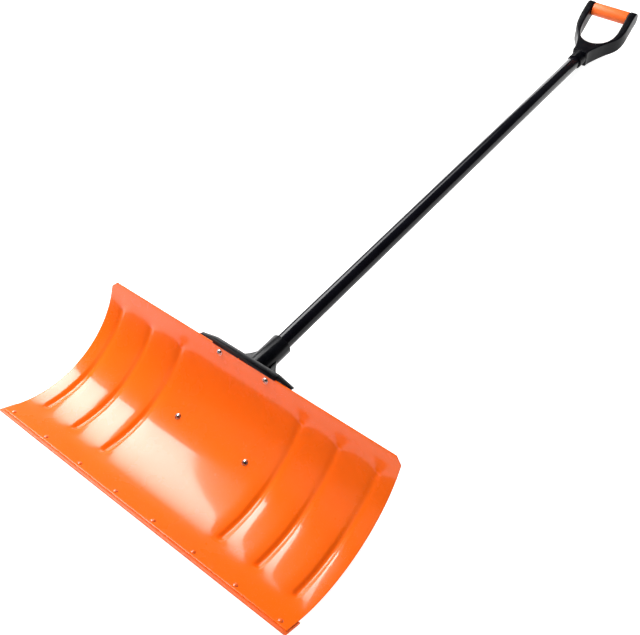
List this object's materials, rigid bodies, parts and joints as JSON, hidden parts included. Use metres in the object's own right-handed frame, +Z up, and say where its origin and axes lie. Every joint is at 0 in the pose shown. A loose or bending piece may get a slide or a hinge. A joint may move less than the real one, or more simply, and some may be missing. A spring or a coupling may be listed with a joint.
{
  "type": "snow_shovel",
  "caption": "Push shovel for snow: a wide curved blade with pressed ribs and a riveted edge strip, a moulded bracket, a long straight tube and a D-shaped grip with a soft sleeve.",
  "frame": {"origin": "Bottom centre of the shovel's box as it lies on its back on the floor.", "axes": "+X across the blade; +Y along the handle, from the cutting edge to the D-grip; +Z up, out of the blade's hollow front."},
  "size_m": [0.656, 1.686, 0.1295],
  "materials": {
    "orange_paint": "gloss",
    "strip_paint": "satin",
    "black_paint": "gloss",
    "black_plastic": "satin",
    "orange_rubber": "matte",
    "zinc": "satin"
  },
  "bodies": {
    "root": {"blade": "orange_paint", "wear_strip": "strip_paint", "strip_rivets": "strip_paint", "blade_bracket": "black_plastic", "upper_screws": "zinc", "upper_washers": "zinc", "upper_back_washers": "zinc", "upper_nuts": "zinc", "middle_screws": "zinc", "middle_washers": "zinc", "middle_back_washers": "zinc", "middle_nuts": "zinc", "handle_tube": "black_paint", "socket_screw": "zinc", "d_grip": "black_plastic", "grip_sleeve": "orange_rubber", "collar_screw": "zinc"}
  },
  "joints": []
}
